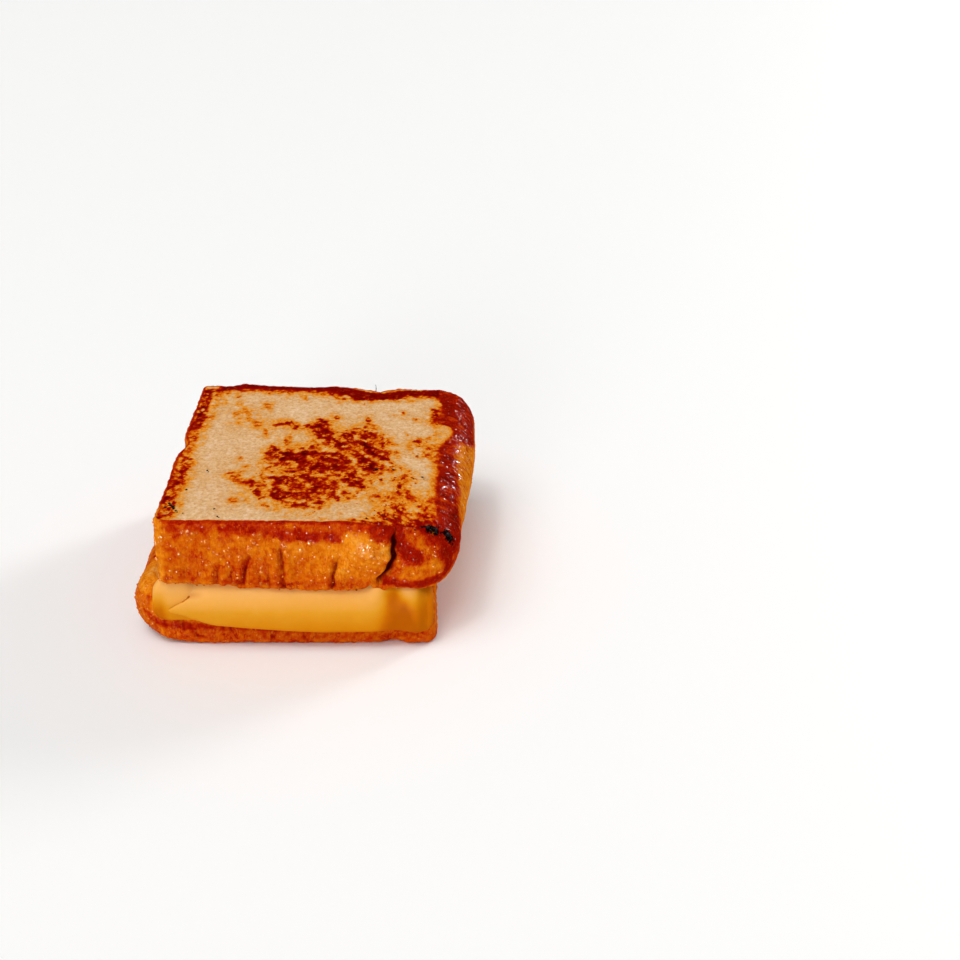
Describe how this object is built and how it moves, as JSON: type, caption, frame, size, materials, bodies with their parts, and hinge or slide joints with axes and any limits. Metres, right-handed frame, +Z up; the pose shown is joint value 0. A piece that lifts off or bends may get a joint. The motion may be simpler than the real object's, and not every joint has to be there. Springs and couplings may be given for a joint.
{
  "type": "grilled cheese sandwich",
  "caption": "Thick-cut grilled cheese sandwich: toasted loaf slices stacked off-centre, with melted cheese hanging out over the front edge.",
  "frame": {"origin": "middle of the whole sandwich's bounding box in plan, on the surface that it stands on", "axes": "+Z up, +Y from the front, where the cheese hangs out, to the back, +X to the right as seen from the front, towards the overhanging domed side of the upper slice"},
  "size_m": [0.116, 0.1074, 0.0494],
  "materials": {
    "toasted_bread": "griddled and buttered crust, satin to glossy at the side, dry and porous on the pale crumb",
    "cheese": "smooth melted processed cheese, soft satin sheen"
  },
  "bodies": {
    "root": {"bread_upper": "toasted_bread", "bread_lower": "toasted_bread", "cheese_lower": "cheese", "cheese_upper": "cheese"}
  },
  "joints": []
}
